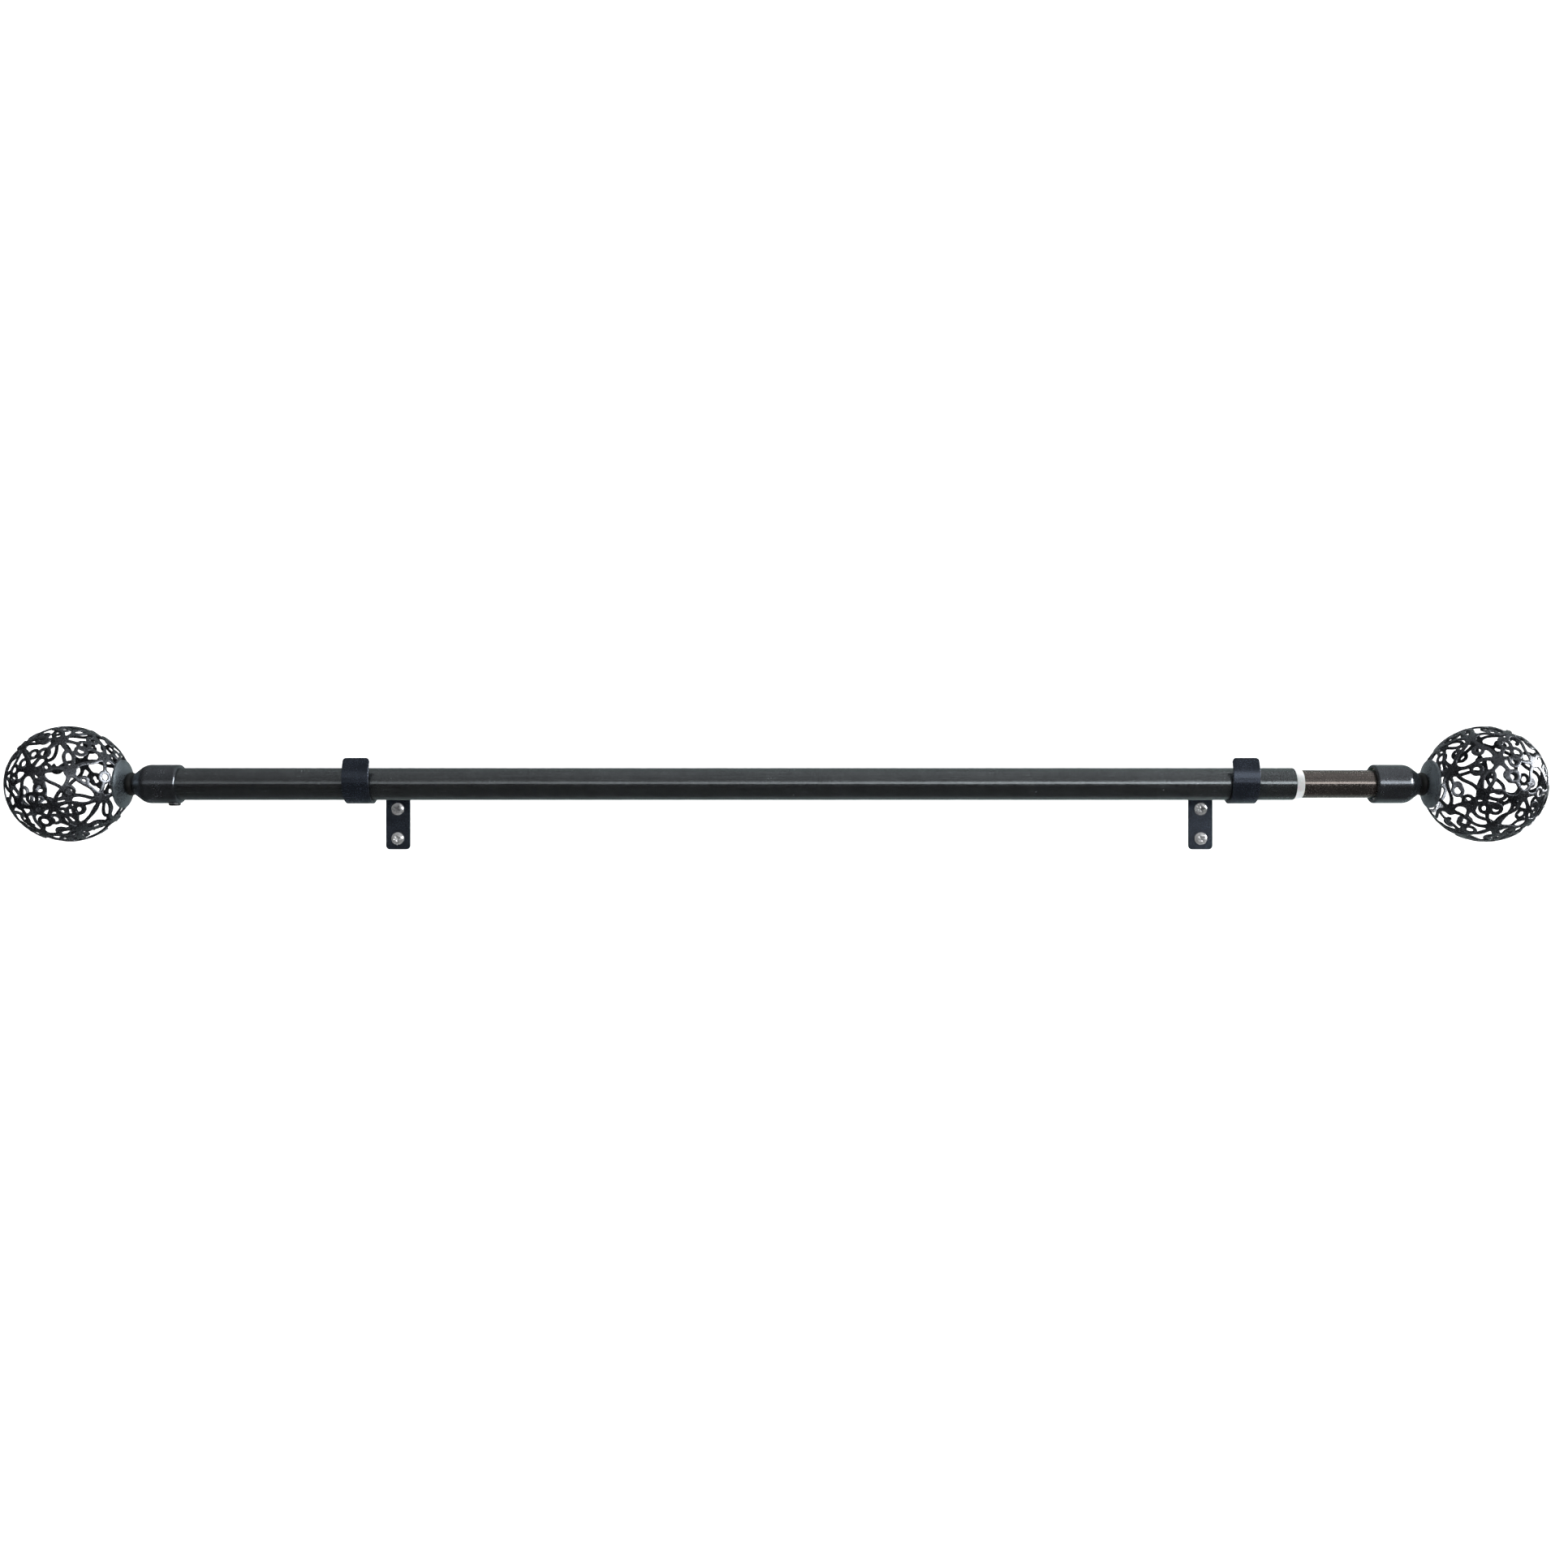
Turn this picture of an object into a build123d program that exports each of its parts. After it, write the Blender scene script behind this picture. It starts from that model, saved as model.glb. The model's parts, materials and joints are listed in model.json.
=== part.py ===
"""Telescopic curtain rod with two bent-strip wall brackets and two openwork ball finials.

Frame: +X along the rod, +Y towards the wall, +Z up, millimetres. The origin lies on the wall,
midway between the two screws of the left bracket. The rod hangs in front of the wall, at -Y.
"""

import math
import os

from build123d import *

# ---- driving dimensions ----------------------------------------------------------------------
wall_to_rod = 98.0        # wall face to rod axis
rod_height = 29.7         # rod axis above the middle of the bracket's screw pair
bracket_spacing = 600.0   # left bracket to right bracket, centre to centre

outer_tube_radius = 11.0
inner_tube_radius = 9.5
tube_wall = 0.8
outer_tube_mouth = 635.0  # x of the outer tube's open end
inner_tube_length = 736.0

ball_radius = 39.5
left_ball_x = -199.0
right_ball_x = 766.0
lace_thickness = 1.2
lace_arm_width = 3.4
lace_corner_radius = 3.2

strip_width = 18.0
strip_thickness = 2.0
plate_drop = 49.0         # bottom of the wall plate below the rod axis
arm_rise = 10.0           # top face of the arm above the rod axis
tip_rise = 17.3           # top of the cradle's front lip above the rod axis

screw_spacing = 22.0
screw_thread_radius = 2.1

slide_gap = 0.05          # radial clearance of the fits
touch_gap = 0.02          # between faces that lie on each other
rest_gap = 0.4            # rod to cradle, where it rests

# ---- worked-out places -----------------------------------------------------------------------
rod_centre = (0, -wall_to_rod, rod_height)
rod_axis = Axis(rod_centre, (1, 0, 0))
rod_plane = Plane(rod_centre, x_dir=(1, 0, 0), z_dir=(0, -1, 0))  # local x along the rod, y up

# distances from the ball's centre, measured along the rod towards the tubes
cup_inner_radius = ball_radius + 0.3
cup_outer_radius = ball_radius + 1.5
nose_distance = 45.4      # small end of the ferrule
shoulder_distance = 53.95  # where the ferrule's cone meets its barrel, before rounding
socket_distance = 54.8    # bottom of the socket that takes the tube
mouth_distance = 76.8     # open end of the ferrule
clamp_distance = 72.2     # axis of the clamp screw
tube_end_gap = 0.5        # tube end to socket bottom

ferrule_radius = 13.2
nose_radius = 7.0
shoulder_rounding = 9.0
mouth_rounding = 1.1
socket_radius = outer_tube_radius + slide_gap
stud_radius = 3.0
stud_bore = stud_radius + slide_gap
clamp_screw_radius = 2.0

parts = {}


def keep(name, builder):
    """Label a finished piece and remember it for export."""
    builder.part.label = name
    parts[name] = builder.part


def finial_plane(ball_x, side):
    """Half-section plane of a finial: local x is the distance from the ball centre, y is up."""
    centre = (ball_x, -wall_to_rod, rod_height)
    return Plane(centre, x_dir=(-side, 0, 0), z_dir=(0, side, 0))


# ---- tubes -----------------------------------------------------------------------------------
def ring_profile(start, end, inner, outer):
    """Section of a plain sleeve between two x positions."""
    with Locations(((start + end) / 2, (inner + outer) / 2)):
        Rectangle(end - start, outer - inner)


outer_tube_bore = outer_tube_radius - tube_wall
outer_tube_start = left_ball_x + socket_distance + tube_end_gap
with BuildPart() as outer_tube:
    with BuildSketch(rod_plane):
        ring_profile(outer_tube_start, outer_tube_mouth, outer_tube_bore, outer_tube_radius)
    revolve(axis=rod_axis)
keep("outer_tube", outer_tube)

inner_tube_bore = inner_tube_radius - tube_wall
inner_tube_end = right_ball_x - socket_distance - tube_end_gap
inner_tube_start = inner_tube_end - inner_tube_length
with BuildPart() as inner_tube:
    with BuildSketch(rod_plane):
        ring_profile(inner_tube_start, inner_tube_end, inner_tube_bore, inner_tube_radius)
    revolve(axis=rod_axis)
keep("inner_tube", inner_tube)

# The collar plugs into the outer tube's mouth, and its tapered lip stands out of it.
glide_gap = 0.1                                        # plastic pieces to the tube they slide on
collar_bore = inner_tube_radius + glide_gap
collar_plug_radius = outer_tube_bore - slide_gap
collar_plug_length = 14.0
collar_lip_radius = outer_tube_radius - 0.4
collar_lip_flat = 1.0
collar_lip_length = 5.5
collar_lip_edge = 0.25                                 # wall left at the thin end of the taper
with BuildPart() as glide_collar:
    with BuildSketch(rod_plane):
        with BuildLine():
            Polyline(
                (outer_tube_mouth - collar_plug_length, collar_bore),
                (outer_tube_mouth - collar_plug_length, collar_plug_radius),
                (outer_tube_mouth, collar_plug_radius),
                (outer_tube_mouth, collar_lip_radius),
                (outer_tube_mouth + collar_lip_flat, collar_lip_radius),
                (outer_tube_mouth + collar_lip_length, collar_bore + collar_lip_edge),
                (outer_tube_mouth + collar_lip_length, collar_bore),
                close=True,
            )
        make_face()
    revolve(axis=rod_axis)
keep("glide_collar", glide_collar)

# The plug at the hidden end of the inner tube centres it in the outer tube.
plug_bore = 7.2
plug_stem_end = inner_tube_start + 14.0
plug_head_start = inner_tube_start - 6.0
plug_rounding = 0.8
with BuildPart() as inner_end_plug:
    with BuildSketch(rod_plane):
        ring_profile(inner_tube_start, plug_stem_end, plug_bore, inner_tube_bore - slide_gap)
        ring_profile(plug_head_start, inner_tube_start, plug_bore, outer_tube_bore - glide_gap)
    revolve(axis=rod_axis)
    fillet(inner_end_plug.edges().group_by(Axis.X)[0], plug_rounding)
keep("inner_end_plug", inner_end_plug)


# ---- brackets --------------------------------------------------------------------------------
cradle_radius = 12.4                                   # inner radius of the cradle
cradle_rise = cradle_radius - outer_tube_radius - rest_gap  # cradle centre above the rod axis
bend_radius = 2.5                                      # to the middle of the strip
lip_start = 4.0                                        # where the front lip starts to lean back
lip_lean = 3.3                                         # how far its top leans back
tip_rounding = 2.5
plate_rounding = 3.0
strip_edge_rounding = 0.3

screw_neck_radius = 1.6                                # smooth waist under the head
screw_hole_radius = screw_thread_radius + 0.3
screw_head_radius = 4.8
screw_head_height = 3.0
screw_head_rim = 0.7                                   # straight edge under the crown
screw_head_flat = 2.2                                  # radius of the flat middle of the crown
screw_length = 25.0
screw_point_length = 4.5
screw_point_radius = 0.3
recess_arm_width = 1.0


def wall_bracket(centre_x):
    """One flat strip, bent into wall plate, arm and cradle."""
    mid = strip_thickness / 2
    u_radius = cradle_radius + mid
    rear_y = -wall_to_rod + u_radius
    front_y = -wall_to_rod - u_radius
    cradle_z = rod_height + cradle_rise
    arm_z = rod_height + arm_rise - mid
    lip_z = rod_height + lip_start
    lip_height = tip_rise - lip_start
    lip_angle = 2 * math.degrees(math.atan(lip_lean / lip_height))
    lip_radius = lip_height / math.sin(math.radians(lip_angle))
    with BuildPart() as bracket:
        with BuildSketch(Plane.YZ.offset(centre_x - strip_width / 2)):
            with BuildLine():
                FilletPolyline(
                    (-mid, rod_height - plate_drop),
                    (-mid, arm_z),
                    (rear_y, arm_z),
                    (rear_y, cradle_z),
                    radius=bend_radius,
                )
                JernArc((rear_y, cradle_z), (0, -1), u_radius, -180)
                Line((front_y, cradle_z), (front_y, lip_z))
                JernArc((front_y, lip_z), (0, 1), lip_radius, -lip_angle)
            trace(line_width=strip_thickness)
        extrude(amount=strip_width)
        tip = bracket.faces().sort_by(Axis.Z)[-1]
        across_the_strip = lambda edge: edge.length < 1.5 * strip_thickness
        fillet(tip.edges().filter_by(across_the_strip), tip_rounding)
        fillet(bracket.edges().filter_by(Axis.Y).group_by(Axis.Z)[0], plate_rounding)
        fillet(bracket.faces().filter_by(Axis.X).edges(), strip_edge_rounding)
        with Locations(Plane.XZ):
            for z in (-screw_spacing / 2, screw_spacing / 2):
                with Locations((centre_x, z)):
                    Hole(screw_hole_radius)
    return bracket


def cut_cross_recess(depth, reach):
    """Cross recess for a driver, cut into a head whose outer face is the local XY plane."""
    for turn in (0, 90):
        with Locations(Rotation(0, 0, turn)):
            Box(
                reach,
                recess_arm_width,
                depth,
                align=(Align.CENTER, Align.CENTER, Align.MAX),
                mode=Mode.SUBTRACT,
            )


def wall_screw(centre_x, z):
    """Pan-head wood screw; its thread starts at the wall and is a plain cylinder."""
    seat = Plane((centre_x, -strip_thickness - touch_gap, z), x_dir=(1, 0, 0), z_dir=(0, -1, 0))
    neck_length = strip_thickness + touch_gap
    with BuildPart() as screw:
        # local x is the radius and local y runs into the wall
        with BuildSketch(Plane(seat.origin, x_dir=(0, 0, -1), z_dir=(1, 0, 0))):
            with BuildLine():
                crown = (screw_head_flat, -screw_head_height)
                Line((0, -screw_head_height), crown)
                TangentArc(crown, (screw_head_radius, -screw_head_rim), tangent=(1, 0))
                Polyline(
                    (screw_head_radius, -screw_head_rim),
                    (screw_head_radius, 0),
                    (screw_neck_radius, 0),
                    (screw_neck_radius, neck_length),
                    (screw_thread_radius, neck_length),
                    (screw_thread_radius, screw_length - screw_point_length),
                    (screw_point_radius, screw_length),
                    (0, screw_length),
                    (0, -screw_head_height),
                )
            make_face()
        revolve(axis=Axis(seat.origin, (0, 1, 0)))
        with Locations(seat.offset(screw_head_height)):
            cut_cross_recess(depth=1.8, reach=5.2)
    return screw


def wall_screws(centre_x):
    """The two screws of one wall plate, as separate solids of one group."""
    screws = [wall_screw(centre_x, z).part for z in (-screw_spacing / 2, screw_spacing / 2)]
    with BuildPart() as group:
        add(screws)
    return group


for name, centre_x in (("left_bracket", 0.0), ("right_bracket", bracket_spacing)):
    keep(name, wall_bracket(centre_x))
    keep(name + "_screws", wall_screws(centre_x))


# ---- ferrules and their clamp screws ---------------------------------------------------------
clamp_head_radius = 4.0
clamp_head_height = 1.6
clamp_head_rounding = 1.2
clamp_seat_gap = 0.05
clamp_tip_gap = 0.1


def clamp_plane_at(ball_x, side, angle):
    """Plane touching the ferrule where its clamp screw stands; angle from straight down to the wall."""
    turn = math.radians(angle)
    outward = Vector(0, math.sin(turn), -math.cos(turn))
    centre = Vector(ball_x - side * clamp_distance, -wall_to_rod, rod_height)
    return Plane(centre + outward * ferrule_radius, x_dir=(1, 0, 0), z_dir=outward)


def ferrule(ball_x, side, clamp_plane):
    """Cast end cap: barrel, rounded shoulder and cone, with a socket for the tube."""
    with BuildPart() as cap:
        with BuildSketch(finial_plane(ball_x, side)):
            with BuildLine():
                FilletPolyline(
                    (nose_distance, nose_radius),
                    (shoulder_distance, ferrule_radius),
                    (mouth_distance, ferrule_radius),
                    (mouth_distance, socket_radius),
                    radius=(shoulder_rounding, mouth_rounding),
                )
                Polyline(
                    (mouth_distance, socket_radius),
                    (socket_distance, socket_radius),
                    (socket_distance, stud_bore),
                    (nose_distance, stud_bore),
                    (nose_distance, nose_radius),
                )
            make_face()
        revolve(axis=rod_axis)
        with Locations(clamp_plane):
            Cylinder(
                clamp_screw_radius + slide_gap,
                ferrule_radius,
                align=(Align.CENTER, Align.CENTER, Align.MAX),
                mode=Mode.SUBTRACT,
            )
    return cap


def clamp_screw(clamp_plane, tube_radius):
    """Low pan-head screw whose flat tip presses on the tube."""
    seat = clamp_plane.offset(clamp_seat_gap)
    shank_length = ferrule_radius + clamp_seat_gap - tube_radius - clamp_tip_gap
    with BuildPart() as screw:
        with BuildSketch(seat):
            Circle(clamp_screw_radius)
        extrude(amount=-shank_length)
        with BuildSketch(seat):
            Circle(clamp_head_radius)
        extrude(amount=clamp_head_height)
        crown_edge = screw.edges().sort_by(Axis(seat.origin, seat.z_dir))[-1]
        fillet(crown_edge, clamp_head_rounding)
        with Locations(seat.offset(clamp_head_height)):
            cut_cross_recess(depth=0.9, reach=3.6)
    return screw


# ---- finials ---------------------------------------------------------------------------------
bead_radius = 7.95
bead_face_radius = 6.4
cup_rim_radius = 16.4
stud_end_gap = 0.4        # stud end to socket bottom
stud_nut_face = 37.7      # nut face against the inside of the lace hub
stud_nut_height = 5.0
stud_nut_flats = 10.0
stud_stick_out = 1.5      # stud end past the nut
stud_chamfer = 0.5


def on_sphere(sphere_radius, radius):
    """Half-section point of a sphere about the ball's centre, at a radius from the rod axis."""
    return (math.sqrt(sphere_radius**2 - radius**2), radius)


def neck_bead(ball_x, side):
    """Round black bead between ferrule and cup, hollowed to sit on the cup."""
    hollow_radius = cup_outer_radius + touch_gap
    back = nose_distance - touch_gap
    with BuildPart() as bead:
        with BuildSketch(finial_plane(ball_x, side)):
            with BuildLine():
                inner = on_sphere(hollow_radius, stud_bore)
                outer = on_sphere(hollow_radius, bead_face_radius)
                RadiusArc(inner, outer, -hollow_radius)
                Polyline(inner, (back, stud_bore), (back, bead_face_radius))
                ThreePointArc(outer, ((outer[0] + back) / 2, bead_radius), (back, bead_face_radius))
            make_face()
        revolve(axis=rod_axis)
    return bead


def cup(ball_x, side):
    """Dished cap that the ball sits in."""
    with BuildPart() as dish:
        with BuildSketch(finial_plane(ball_x, side)):
            with BuildLine():
                arcs = [
                    RadiusArc(on_sphere(radius, stud_bore), on_sphere(radius, cup_rim_radius), -radius)
                    for radius in (cup_inner_radius, cup_outer_radius)
                ]
                Line(arcs[0] @ 0, arcs[1] @ 0)
                Line(arcs[0] @ 1, arcs[1] @ 1)
            make_face()
        revolve(axis=rod_axis)
    return dish


def finial_stud(ball_x, side):
    """Threaded stud from the ferrule's nose into the ball."""
    start = stud_nut_face - stud_nut_height - stud_stick_out
    end = socket_distance - stud_end_gap
    with BuildPart() as stud:
        with BuildSketch(finial_plane(ball_x, side)):
            ring_profile(start, end, 0, stud_radius)
        revolve(axis=rod_axis)
        chamfer(stud.edges().filter_by(GeomType.CIRCLE), stud_chamfer)
    return stud


def stud_nut(ball_x, side):
    """Hexagon nut that holds the ball and its cup on the stud."""
    face_centre = finial_plane(ball_x, side).from_local_coords((stud_nut_face, 0, 0))
    with BuildPart() as nut:
        with BuildSketch(Plane(face_centre, x_dir=(0, 0, 1), z_dir=(side, 0, 0))):
            RegularPolygon(stud_nut_flats / 2, 6, major_radius=False)
            Circle(stud_bore, mode=Mode.SUBTRACT)
        extrude(amount=stud_nut_height)
    return nut


# ---- openwork ball ---------------------------------------------------------------------------
belt_angle = math.degrees(math.atan(2))                # 63.4, from a pole to the five-armed belt
near_angle = math.degrees(math.acos(math.sqrt((5 + 2 * math.sqrt(5)) / 15)))  # 37.4
far_angle = math.degrees(math.acos(math.sqrt((5 - 2 * math.sqrt(5)) / 15)))   # 79.2
five_to_six_angle = 40.0                               # a five-armed hub and its neighbours are nearer
six_to_six_angle = 45.0                                # so are two six-armed neighbours
opening_reach = 4.0                                    # cutting depth each way, past the lace
other_half_limit = -0.3                                # openings further back miss this half


def direction(polar, turn):
    """Unit vector at an angle from +X and a turn about it."""
    p, t = math.radians(polar), math.radians(turn)
    return Vector(math.cos(p), math.sin(p) * math.cos(t), math.sin(p) * math.sin(t))


def lace_hubs():
    """Directions of the twelve five-armed hubs, one on each pole, and of the twenty six-armed ones."""
    five = [direction(0, 0), direction(180, 0)]
    six = []
    for turn in range(0, 360, 72):
        five += [direction(belt_angle, turn), direction(180 - belt_angle, turn + 36)]
        for polar, extra in (
            (near_angle, 36),
            (far_angle, 36),
            (180 - far_angle, 0),
            (180 - near_angle, 0),
        ):
            six.append(direction(polar, turn + extra))
    return five, six


def lace_openings():
    """Corner directions of the sixty openings, each between one five-armed and two six-armed hubs."""
    five, six = lace_hubs()
    openings = []
    for pole in five:
        ring = [hub for hub in six if pole.get_angle(hub) < five_to_six_angle]
        for i, one in enumerate(ring):
            for other in ring[i + 1:]:
                if one.get_angle(other) < six_to_six_angle:
                    openings.append((pole, one, other))
    return openings


def lace_half(ball_x, side, outward):
    """Half of the openwork ball; outward is 1 for the half away from the tubes, -1 for the other."""
    centre = Vector(ball_x, -wall_to_rod, rod_height)
    facing = side * outward
    with BuildPart() as half:
        with Locations(centre):
            Sphere(ball_radius)
            Sphere(ball_radius - lace_thickness, mode=Mode.SUBTRACT)
        split(bisect_by=Plane(centre, z_dir=(facing, 0, 0)), keep=Keep.TOP)
        for corners in lace_openings():
            middle = (corners[0] + corners[1] + corners[2]).normalized()
            if middle.X * facing < other_half_limit:
                continue
            plane = Plane(centre + middle * ball_radius, z_dir=middle)
            points = [plane.to_local_coords(centre + corner * (ball_radius / corner.dot(middle)))
                      for corner in corners]
            with BuildSketch(plane) as opening:
                with BuildLine():
                    Polyline([(point.X, point.Y) for point in points], close=True)
                make_face()
                offset(amount=-lace_arm_width / 2, kind=Kind.INTERSECTION, mode=Mode.REPLACE)
                fillet(opening.vertices(), lace_corner_radius)
            extrude(amount=opening_reach, both=True, mode=Mode.SUBTRACT)
        if outward < 0:
            with Locations(Plane(centre, z_dir=(facing, 0, 0))):
                Cylinder(stud_bore + slide_gap, 3 * ball_radius, mode=Mode.SUBTRACT)
    return half


# ---- both ends of the rod --------------------------------------------------------------------
rod_ends = (
    ("left", left_ball_x, -1, 0.0, outer_tube_radius),
    ("right", right_ball_x, 1, 70.0, inner_tube_radius),
)
for name, ball_x, side, clamp_angle, tube_radius in rod_ends:
    clamp_plane = clamp_plane_at(ball_x, side, clamp_angle)
    keep(name + "_ferrule", ferrule(ball_x, side, clamp_plane))
    keep(name + "_clamp_screw", clamp_screw(clamp_plane, tube_radius))
    keep(name + "_neck_bead", neck_bead(ball_x, side))
    keep(name + "_cup", cup(ball_x, side))
    keep(name + "_finial_stud", finial_stud(ball_x, side))
    keep(name + "_stud_nut", stud_nut(ball_x, side))
    keep(name + "_ball_inner_half", lace_half(ball_x, side, -1))
    keep(name + "_ball_outer_half", lace_half(ball_x, side, 1))

# The bush fills the right ferrule's socket down to the size of the inner tube. It follows the
# loop's last end, the right one, whose clamp screw passes through it.
bush_start = socket_distance + 0.1
bush_end = mouth_distance - 2.5
bush_hole_radius = clamp_screw_radius + 0.2
with BuildPart() as reducer_bush:
    with BuildSketch(finial_plane(right_ball_x, 1)):
        ring_profile(bush_start, bush_end, inner_tube_radius + slide_gap, outer_tube_radius)
    revolve(axis=rod_axis)
    with Locations(clamp_plane):
        Cylinder(
            bush_hole_radius,
            outer_tube_radius,
            align=(Align.CENTER, Align.CENTER, Align.MAX),
            mode=Mode.SUBTRACT,
        )
keep("reducer_bush", reducer_bush)


# ---- export ----------------------------------------------------------------------------------
os.makedirs("parts", exist_ok=True)
for name, piece in parts.items():
    export_step(piece, f"parts/{name}.step")
    print(name, piece.bounding_box())
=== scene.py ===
# %% [markdown]
# # A telescopic curtain rod with openwork ball finials
#
# The engineered parts arrive as a frame of finished solids: tubes, ferrules, brackets, cups.
# They already have the right size and place, so this lesson never moves them. It gives each
# one a finish, and it makes the parts whose beauty is in the surface: the lace of the two
# balls, and the threads and heads of the screws.

# %% Load the frame
import json
import math
import random

import bmesh
import bpy
from mathutils import Matrix, Vector


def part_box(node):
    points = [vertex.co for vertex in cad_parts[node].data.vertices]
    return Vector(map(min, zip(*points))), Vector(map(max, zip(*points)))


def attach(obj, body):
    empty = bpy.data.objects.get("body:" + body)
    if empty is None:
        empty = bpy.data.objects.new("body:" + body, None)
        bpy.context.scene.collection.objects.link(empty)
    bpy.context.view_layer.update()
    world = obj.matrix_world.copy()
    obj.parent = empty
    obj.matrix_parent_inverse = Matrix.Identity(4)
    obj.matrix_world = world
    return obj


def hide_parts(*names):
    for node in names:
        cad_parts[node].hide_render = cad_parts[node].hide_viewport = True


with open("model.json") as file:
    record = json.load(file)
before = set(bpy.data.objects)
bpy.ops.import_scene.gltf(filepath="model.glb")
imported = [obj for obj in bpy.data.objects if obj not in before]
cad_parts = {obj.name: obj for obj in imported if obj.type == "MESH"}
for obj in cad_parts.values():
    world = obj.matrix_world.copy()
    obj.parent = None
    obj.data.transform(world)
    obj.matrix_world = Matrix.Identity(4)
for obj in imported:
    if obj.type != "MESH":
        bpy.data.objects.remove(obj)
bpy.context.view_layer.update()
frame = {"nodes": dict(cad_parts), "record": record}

# %% [markdown]
# Every place below is worked out from the frame. The rod's axis runs through the middle of the
# thick tube's box, and each ball's centre is the middle of its two half shells.

# %% Places worked out from the frame
MM = 0.001


def box_middle(low, high):
    return (Vector(low) + Vector(high)) / 2


tube_low, tube_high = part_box("outer_tube")
rod_centre = box_middle(tube_low, tube_high)
rod_y, rod_z = rod_centre.y, rod_centre.z


def ball_centre(side):
    """Both half shells meet in the plane across the rod that holds the ball's centre."""
    low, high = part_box(side + "_ball_outer_half")
    x = high[0] if side == "left" else low[0]
    return Vector((x, rod_y, rod_z))


ball_low, ball_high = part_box("left_ball_outer_half")
ball_radius = (ball_high[2] - ball_low[2]) / 2
print("rod axis at y", round(rod_y, 4), "z", round(rod_z, 4), "ball radius", round(ball_radius, 4))

# %% [markdown]
# ## Camera, stage and light
#
# A wide-angle lens stands about a metre in front of the rod at its own height, level with it,
# a little left of the middle between the balls. The wide angle is what stretches the balls
# sideways at the two ends. A long lens would show them round and hide the faces of the cups.

# %% Camera
CAMERA_DISTANCE = 0.996
CAMERA_RIGHT_OF_LEFT_BRACKET = 0.2886
SENSOR_WIDTH_IN_MM = 36.0
LENS_IN_MM = 33.54


def linked_object(name, data):
    """A new object for some data, linked to the scene."""
    made = bpy.data.objects.new(name, data)
    bpy.context.scene.collection.objects.link(made)
    return made


camera_data = bpy.data.cameras.new("studio_camera")
camera_data.sensor_width = SENSOR_WIDTH_IN_MM
camera_data.lens = LENS_IN_MM
camera_data.clip_start = 0.01
camera = linked_object("studio_camera", camera_data)
camera.location = (CAMERA_RIGHT_OF_LEFT_BRACKET, rod_y - CAMERA_DISTANCE, rod_z)
camera.rotation_euler = (math.radians(90), 0, 0)
bpy.context.scene.camera = camera
print("camera at", [round(v, 3) for v in camera.location])

# %% [markdown]
# The stage is one pale sheet that runs along the floor and sweeps up behind, as in a small
# product studio. A profile of a few points is bent with a bevel and extruded sideways, so
# there is no corner for a shadow line to catch.

# %% Stage
STAGE_BELOW_ROD, STAGE_ABOVE_ROD = 0.55, 2.6
STAGE_IN_FRONT, STAGE_BEHIND = 3.2, 1.6
STAGE_HALF_WIDTH = 3.5
STAGE_BEND = 0.5
PAPER_WHITE = (0.86, 0.86, 0.86, 1)


def smooth_mesh(name, bm):
    """Hand a finished bmesh over to a smooth-shaded mesh."""
    for face in bm.faces:
        face.smooth = True
    mesh = bpy.data.meshes.new(name)
    bm.to_mesh(mesh)
    bm.free()
    return mesh


def sweep_sheet(name, floor_z, front_y, back_y, top_z, half_width, middle_x):
    bm = bmesh.new()
    profile = [(front_y, floor_z), (back_y, floor_z), (back_y, top_z)]
    corners = [bm.verts.new((middle_x - half_width, y, z)) for y, z in profile]
    edges = [bm.edges.new(pair) for pair in zip(corners, corners[1:])]
    bmesh.ops.bevel(bm, geom=[corners[1]], offset=STAGE_BEND, offset_type="OFFSET", segments=16,
                    profile=0.5, affect="VERTICES", material=-1)
    moved = bmesh.ops.extrude_edge_only(bm, edges=bm.edges[:])
    verts = [item for item in moved["geom"] if isinstance(item, bmesh.types.BMVert)]
    bmesh.ops.translate(bm, verts=verts, vec=(2 * half_width, 0, 0))
    bmesh.ops.recalc_face_normals(bm, faces=bm.faces[:])
    return linked_object(name, smooth_mesh(name, bm))


def plain_paper():
    paper = bpy.data.materials.new("stage_paper")
    paper.use_nodes = True
    shader = paper.node_tree.nodes["Principled BSDF"]
    shader.inputs["Base Color"].default_value = PAPER_WHITE
    shader.inputs["Roughness"].default_value = 0.9
    return paper


stage = sweep_sheet("stage_sweep", rod_z - STAGE_BELOW_ROD, rod_y - STAGE_IN_FRONT,
                    rod_y + STAGE_BEHIND, rod_z + STAGE_ABOVE_ROD, STAGE_HALF_WIDTH,
                    camera.location.x)
stage.data.materials.append(plain_paper())
print("stage sheet has", len(stage.data.polygons), "faces")

# %% [markdown]
# Dark, glossy tubes show their surroundings more than their own colour, so the room around them
# is part of the finish. The metal sees a grey room above, a bright window a little above eye
# level that draws the line along the middle of the tubes, and an unlit floor in front, which
# leaves their lower half nearly black. The window is brightest to the right and fades to the
# left. The wall behind shows only along the very bottom edge. The paper sheet is hidden from
# reflections, so that this painted room is what the metal sees. Looked at directly, past the
# sheet's edges, the room is plain and pale.

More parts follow.
